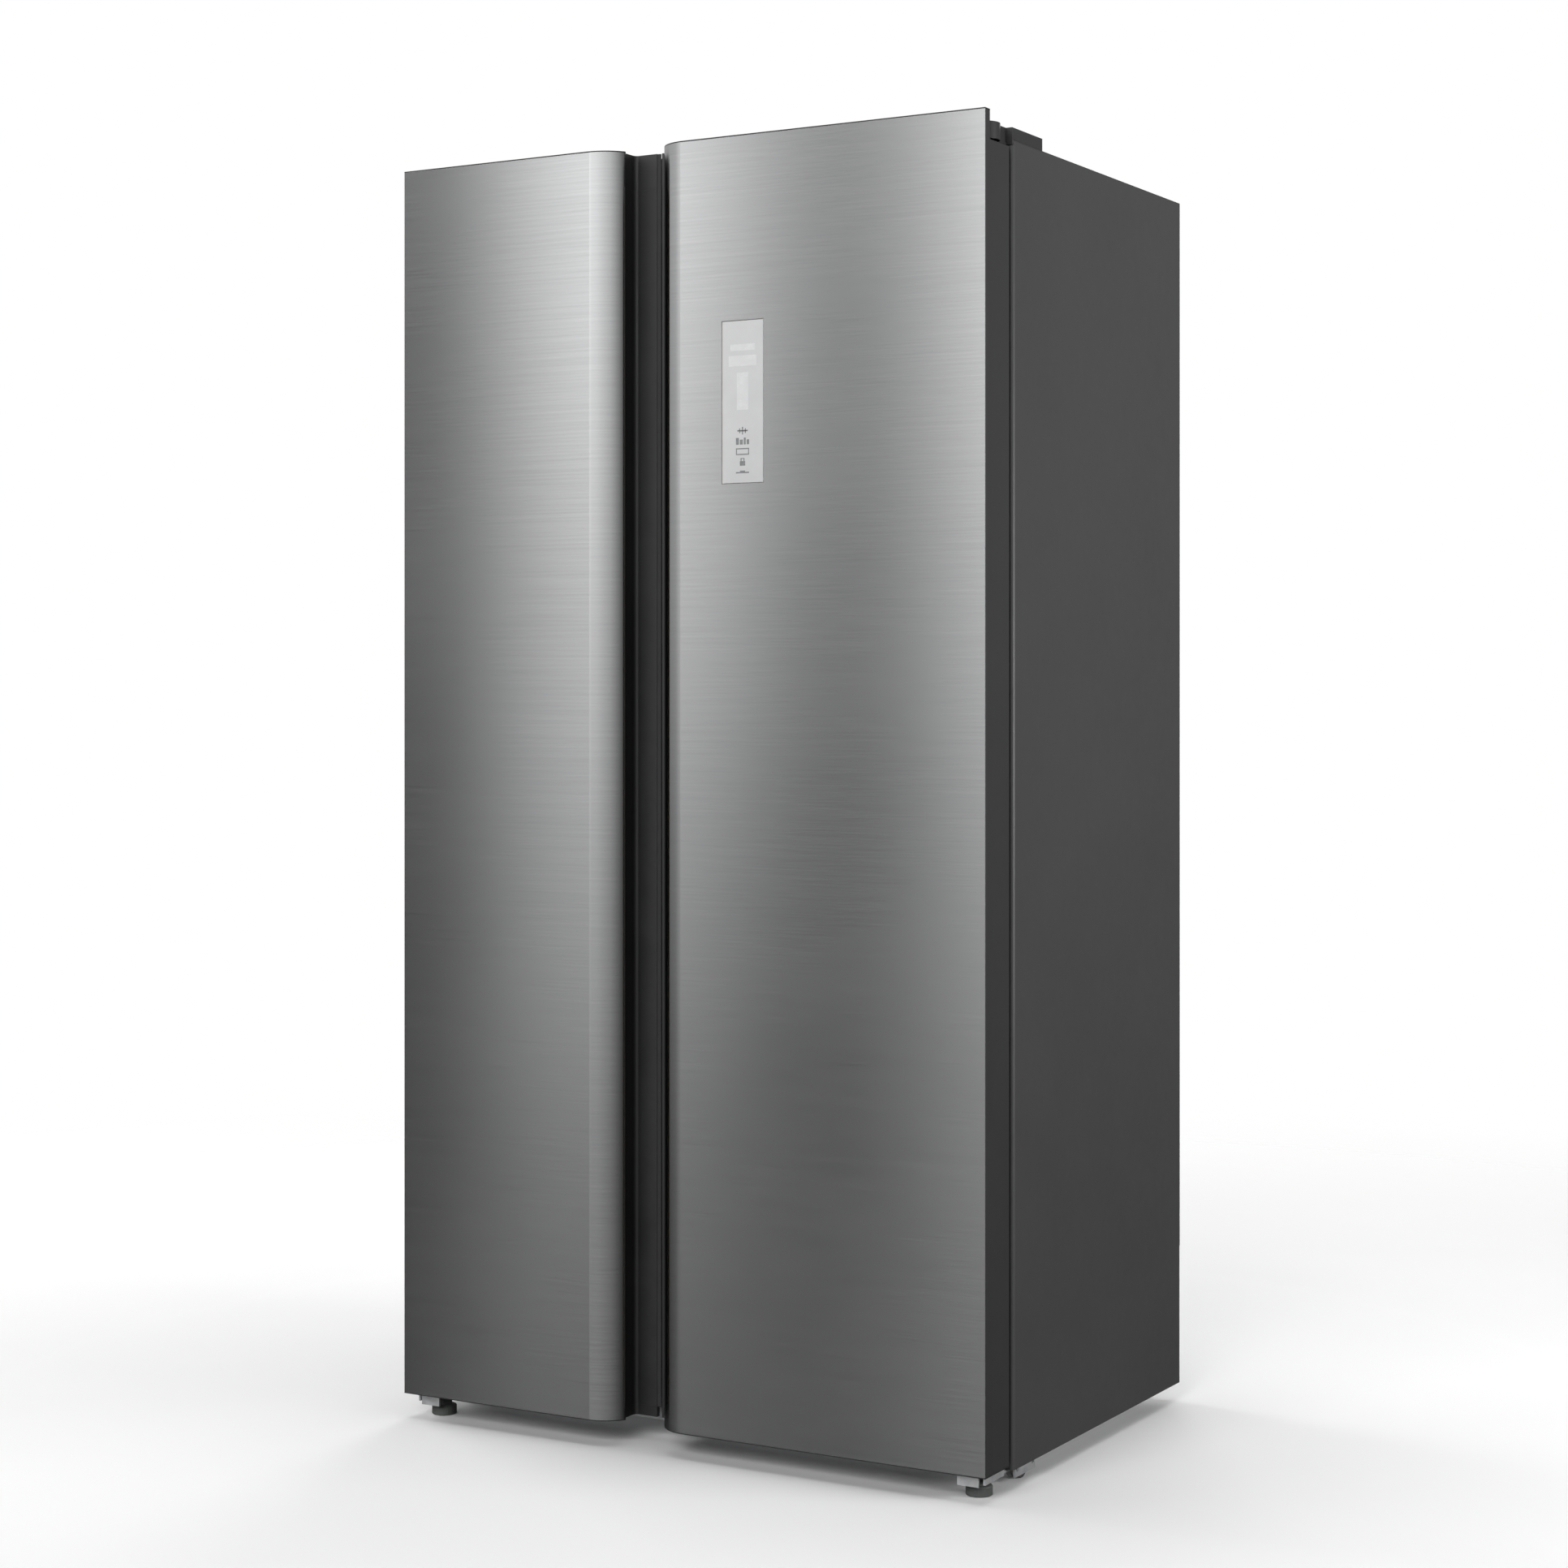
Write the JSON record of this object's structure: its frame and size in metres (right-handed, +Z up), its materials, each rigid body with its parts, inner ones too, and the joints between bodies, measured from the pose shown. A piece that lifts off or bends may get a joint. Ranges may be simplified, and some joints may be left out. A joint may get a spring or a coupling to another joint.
{
  "type": "side by side refrigerator",
  "caption": "Tall refrigerator-freezer with two side by side brushed steel doors, a deep hand recess between them, a slim display panel, drawers, glass shelves and door bins",
  "frame": {"origin": "on the floor under the middle of the outer size", "axes": "+Z up, the doors face -Y, +X to the right of somebody who stands in front"},
  "size_m": [0.911, 0.64, 1.76],
  "materials": {
    "galvanised_sheet": "satin",
    "zinc_plate": "satin",
    "insulation_foam": "matte",
    "black_enamel": "gloss",
    "fin_metal": "satin",
    "black_plastic": "satin",
    "black_rubber": "matte",
    "clear_drawer": "gloss",
    "circuit_board": "satin",
    "display_lens": "gloss",
    "white_plastic": "gloss",
    "clear_bin": "gloss",
    "dark_plastic": "satin",
    "white_liner": "gloss",
    "door_side_paint": "satin",
    "brushed_steel": "satin",
    "clear_shelf": "gloss",
    "foot_plastic": "satin",
    "roller_nylon": "satin",
    "lamp_lens": "gloss",
    "cabinet_paint": "satin"
  },
  "bodies": {
    "cabinet": {"back_panel": "galvanised_sheet", "base_pan": "galvanised_sheet", "bottom_hinge_left": "zinc_plate", "bottom_hinge_right": "zinc_plate", "cabinet_foam": "insulation_foam", "compressor": "black_enamel", "compressor_cover": "galvanised_sheet", "condenser": "fin_metal", "condenser_fan_shroud": "black_plastic", "cord_gland": "black_rubber", "drain_tray": "black_plastic", "drawer_rails": "white_plastic", "evaporator": "fin_metal", "freezer_air_duct": "white_plastic", "freezer_liner": "white_liner", "freezer_shelves": "clear_shelf", "fridge_air_duct": "white_plastic", "fridge_liner": "white_liner", "fridge_shelves": "clear_shelf", "hinge_cover_left": "dark_plastic", "hinge_cover_right": "dark_plastic", "interior_lamps": "lamp_lens", "machine_tray": "galvanised_sheet", "mullion_cover": "cabinet_paint", "rear_roller_brackets": "zinc_plate", "side_panel_left": "cabinet_paint", "side_panel_right": "cabinet_paint", "top_hinge_left": "zinc_plate", "top_hinge_right": "zinc_plate", "top_panel": "cabinet_paint"},
    "fridge_door": {"display_board": "circuit_board", "display_lens": "display_lens", "fridge_door_bins": "clear_bin", "fridge_door_end_caps": "dark_plastic", "fridge_door_foam": "insulation_foam", "fridge_door_gasket": "black_rubber", "fridge_door_grip": "dark_plastic", "fridge_door_liner": "white_liner", "fridge_door_side_trim": "door_side_paint", "fridge_door_skin": "brushed_steel"},
    "freezer_door": {"freezer_door_bins": "clear_bin", "freezer_door_end_caps": "dark_plastic", "freezer_door_foam": "insulation_foam", "freezer_door_gasket": "black_rubber", "freezer_door_grip": "dark_plastic", "freezer_door_liner": "white_liner", "freezer_door_side_trim": "door_side_paint", "freezer_door_skin": "brushed_steel"},
    "crisper_upper": {"crisper_upper": "clear_drawer"},
    "crisper_lower": {"crisper_lower": "clear_drawer"},
    "freezer_drawer_upper": {"freezer_drawer_upper": "clear_drawer"},
    "freezer_drawer_lower": {"freezer_drawer_lower": "clear_drawer"},
    "front_foot_left": {"front_foot_left": "foot_plastic"},
    "front_foot_right": {"front_foot_right": "foot_plastic"},
    "front_roller_left": {"front_roller_left": "roller_nylon"},
    "front_roller_right": {"front_roller_right": "roller_nylon"},
    "rear_roller_left": {"rear_roller_left": "roller_nylon"},
    "rear_roller_right": {"rear_roller_right": "roller_nylon"},
    "condenser_fan": {"condenser_fan": "black_plastic"},
    "evaporator_fan": {"evaporator_fan": "white_plastic"}
  },
  "joints": [
    {"name": "fridge_door_hinge", "type": "hinge", "parent": "cabinet", "child": "fridge_door", "pos_m": [0.4335, -0.28, 0.9], "axis": [0, 0, 1], "range_deg": [0, 115]},
    {"name": "freezer_door_hinge", "type": "hinge", "parent": "cabinet", "child": "freezer_door", "pos_m": [-0.4335, -0.28, 0.9], "axis": [0, 0, -1], "range_deg": [0, 115]},
    {"name": "crisper_upper_slide", "type": "slide", "parent": "cabinet", "child": "crisper_upper", "axis": [0, -1, 0], "range_m": [0, 0.075]},
    {"name": "crisper_lower_slide", "type": "slide", "parent": "cabinet", "child": "crisper_lower", "axis": [0, -1, 0], "range_m": [0, 0.075]},
    {"name": "freezer_drawer_upper_slide", "type": "slide", "parent": "cabinet", "child": "freezer_drawer_upper", "axis": [0, -1, 0], "range_m": [0, 0.075]},
    {"name": "freezer_drawer_lower_slide", "type": "slide", "parent": "cabinet", "child": "freezer_drawer_lower", "axis": [0, -1, 0], "range_m": [0, 0.075]},
    {"name": "front_foot_left_turn", "type": "hinge", "parent": "cabinet", "child": "front_foot_left", "pos_m": [-0.4225, -0.27, 0.02], "axis": [0, 0, 1], "continuous": true},
    {"name": "front_roller_left_turn", "type": "hinge", "parent": "cabinet", "child": "front_roller_left", "pos_m": [-0.427, -0.17, 0.016], "axis": [1, 0, 0], "continuous": true},
    {"name": "rear_roller_left_turn", "type": "hinge", "parent": "cabinet", "child": "rear_roller_left", "pos_m": [-0.38, 0.262, 0.014], "axis": [1, 0, 0], "continuous": true},
    {"name": "front_foot_right_turn", "type": "hinge", "parent": "cabinet", "child": "front_foot_right", "pos_m": [0.4225, -0.27, 0.02], "axis": [0, 0, 1], "continuous": true},
    {"name": "front_roller_right_turn", "type": "hinge", "parent": "cabinet", "child": "front_roller_right", "pos_m": [0.427, -0.17, 0.016], "axis": [1, 0, 0], "continuous": true},
    {"name": "rear_roller_right_turn", "type": "hinge", "parent": "cabinet", "child": "rear_roller_right", "pos_m": [0.38, 0.262, 0.014], "axis": [1, 0, 0], "continuous": true},
    {"name": "condenser_fan_spin", "type": "hinge", "parent": "cabinet", "child": "condenser_fan", "pos_m": [-0.21, 0.218, 0.124], "axis": [1, 0, 0], "continuous": true},
    {"name": "evaporator_fan_spin", "type": "hinge", "parent": "cabinet", "child": "evaporator_fan", "pos_m": [-0.251, 0.198, 0.66], "axis": [0, 1, 0], "continuous": true}
  ]
}
